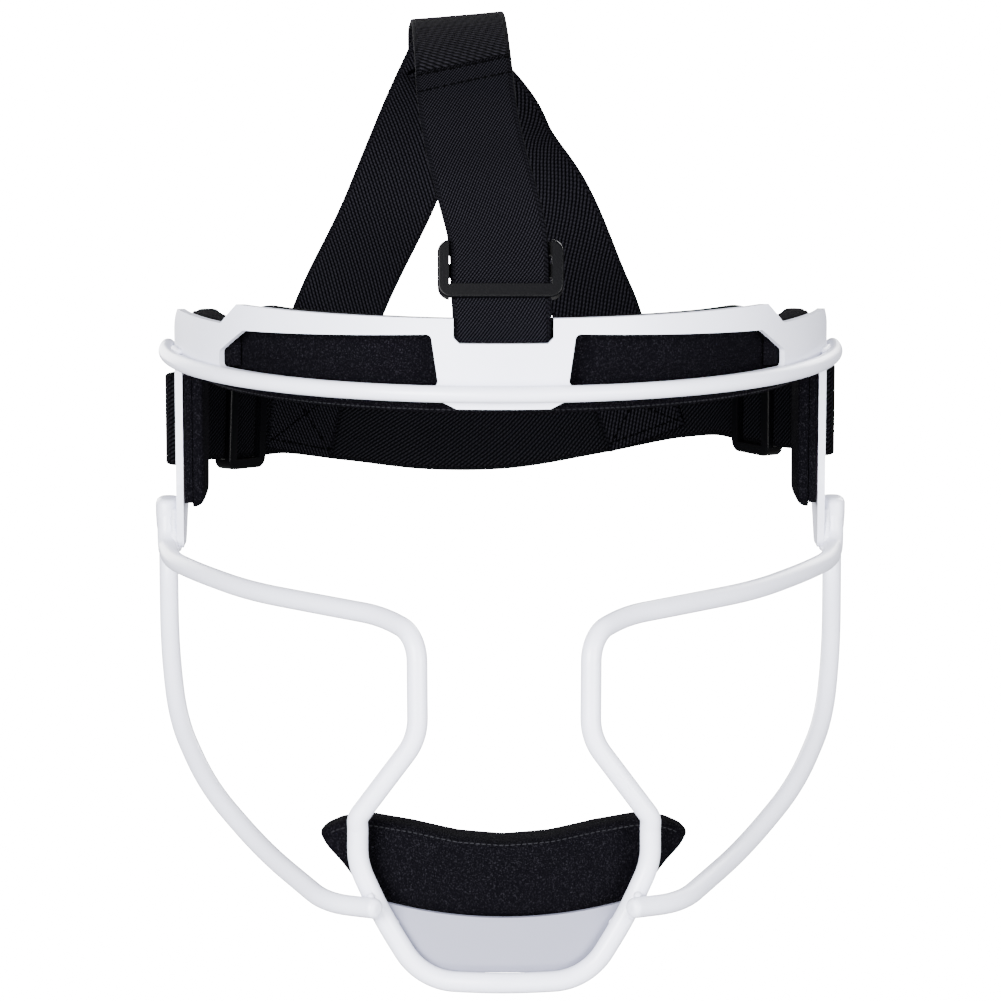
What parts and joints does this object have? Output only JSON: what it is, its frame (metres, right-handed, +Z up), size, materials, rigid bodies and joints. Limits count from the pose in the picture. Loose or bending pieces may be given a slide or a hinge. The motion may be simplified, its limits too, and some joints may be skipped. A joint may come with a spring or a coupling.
{
  "type": "softball face guard",
  "caption": "Fielder's face guard: white wire cage on a pressed steel brow band with black pads, chin cushion and an adjustable black webbing harness",
  "frame": {"origin": "middle of the wearer's head, in the plane of the brow ring, midway between the temple plates", "axes": "+Z up towards the crown, -Y forward out of the face, +X to the right seen from the front"},
  "size_m": [0.1954, 0.2042, 0.2486],
  "materials": {
    "white_steel": "satin",
    "pad_cover": "matte",
    "pad_foam": "matte",
    "fixing_tape": "matte",
    "webbing": "matte",
    "slide_plastic": "semi-gloss"
  },
  "bodies": {
    "frame": {"brow_ring": "white_steel", "forehead_plate": "white_steel", "temple_plate_left": "white_steel", "temple_plate_right": "white_steel", "cheek_bar_left": "white_steel", "cheek_bar_right": "white_steel", "jaw_bar_left": "white_steel", "jaw_bar_right": "white_steel", "chin_bow": "white_steel", "chin_plate": "white_steel", "forehead_pad_cover": "pad_cover", "temple_pad_cover_left": "pad_cover", "temple_pad_cover_right": "pad_cover", "chin_pad_cover": "pad_cover", "forehead_pad_foam": "pad_foam", "temple_pad_foam_left": "pad_foam", "temple_pad_foam_right": "pad_foam", "chin_pad_foam": "pad_foam", "ear_tape_left": "fixing_tape", "ear_tape_right": "fixing_tape", "temple_tape_left": "fixing_tape", "temple_tape_right": "fixing_tape", "chin_tape": "fixing_tape", "top_strap": "webbing", "crown_strap_left": "webbing", "crown_strap_right": "webbing", "rear_strap": "webbing", "temple_loop_left": "webbing", "temple_loop_right": "webbing"},
    "top_slide": {"top_slide": "slide_plastic"},
    "rear_slide_left": {"rear_slide_left": "slide_plastic"},
    "rear_slide_right": {"rear_slide_right": "slide_plastic"}
  },
  "joints": [
    {"name": "top_slide_travel", "type": "slide", "parent": "frame", "child": "top_slide", "axis": [-0.0837, 0.2747, 0.9579], "range_m": [-0.0015, 0.012]},
    {"name": "rear_slide_left_travel", "type": "slide", "parent": "frame", "child": "rear_slide_left", "axis": [0.534, 0.8428, -0.0675], "range_m": [-0.0015, 0.0065]},
    {"name": "rear_slide_right_travel", "type": "slide", "parent": "frame", "child": "rear_slide_right", "axis": [-0.5352, 0.8447, -0.0042], "range_m": [-0.0015, 0.0065]}
  ]
}
